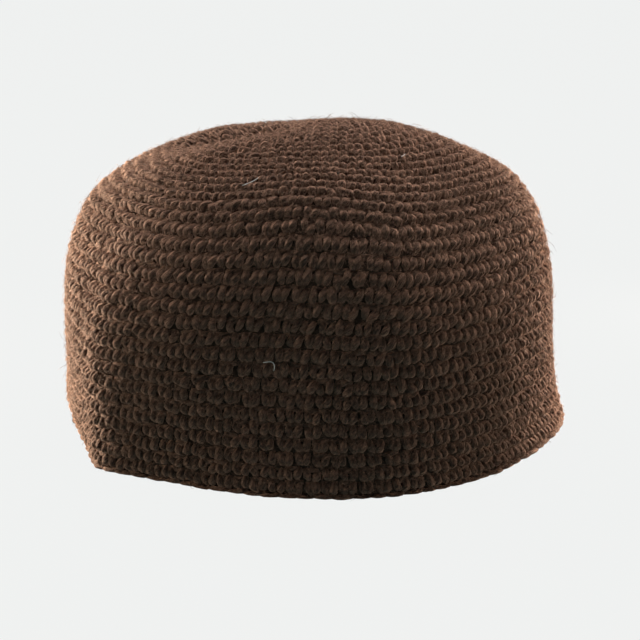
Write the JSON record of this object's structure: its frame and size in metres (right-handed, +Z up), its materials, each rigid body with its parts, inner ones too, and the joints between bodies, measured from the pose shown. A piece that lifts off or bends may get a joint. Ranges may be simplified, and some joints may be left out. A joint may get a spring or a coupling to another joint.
{
  "type": "crocheted prayer cap",
  "caption": "Brimless crocheted prayer cap in brown wool with a domed crown and straight side wall, standing open side down with soft storage folds.",
  "frame": {"origin": "middle of the base, on the plane of the rim", "axes": "+X along the longer way of the oval rim, +Y from the dented front to the back, +Z up through the crown"},
  "size_m": [0.198, 0.1626, 0.1175],
  "materials": {
    "brown_wool": "matte"
  },
  "bodies": {
    "root": {"crochet_cap": "brown_wool"}
  },
  "joints": []
}
